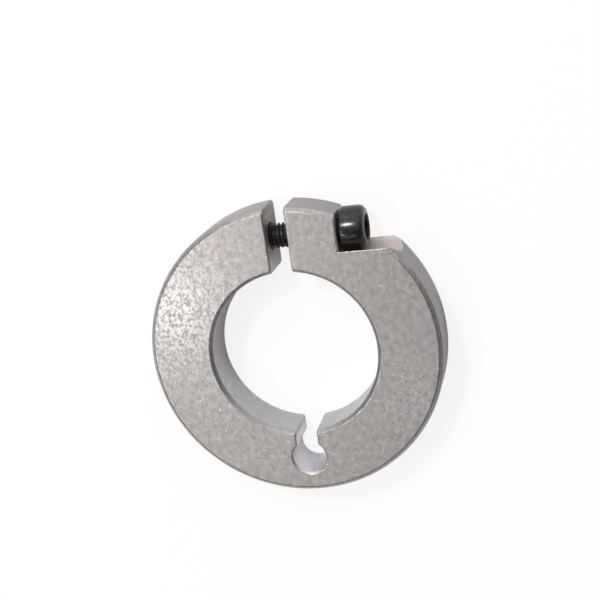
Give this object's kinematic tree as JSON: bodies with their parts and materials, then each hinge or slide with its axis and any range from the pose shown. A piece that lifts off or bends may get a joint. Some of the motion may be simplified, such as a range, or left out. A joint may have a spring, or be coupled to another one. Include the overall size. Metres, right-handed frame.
{
  "type": "shaft clamping ring",
  "caption": "Split aluminium clamping ring with a keyhole relief slit and a black socket head cap screw across its gap, which closes the bore on an encoder's hollow shaft.",
  "frame": {"origin": "on the bore's axis, in the plane of the back face that the ring lies on", "axes": "+Z along the bore towards the front face, +Y through the middle of the gap, +X along the screw towards its head"},
  "size_m": [0.0354, 0.0354, 0.006],
  "materials": {
    "tumbled_aluminium": "satin, tumbled after machining",
    "black_oxide_steel": "satin black oxide on steel"
  },
  "bodies": {
    "ring": {"clamp_ring": "tumbled_aluminium"},
    "screw": {"clamp_screw": "black_oxide_steel"}
  },
  "joints": [
    {"name": "screw_turn", "type": "hinge", "parent": "ring", "child": "screw", "pos_m": [0.00725, 0.01385, 0.003], "axis": [1, 0, 0], "range_deg": [-180, 810]}
  ]
}
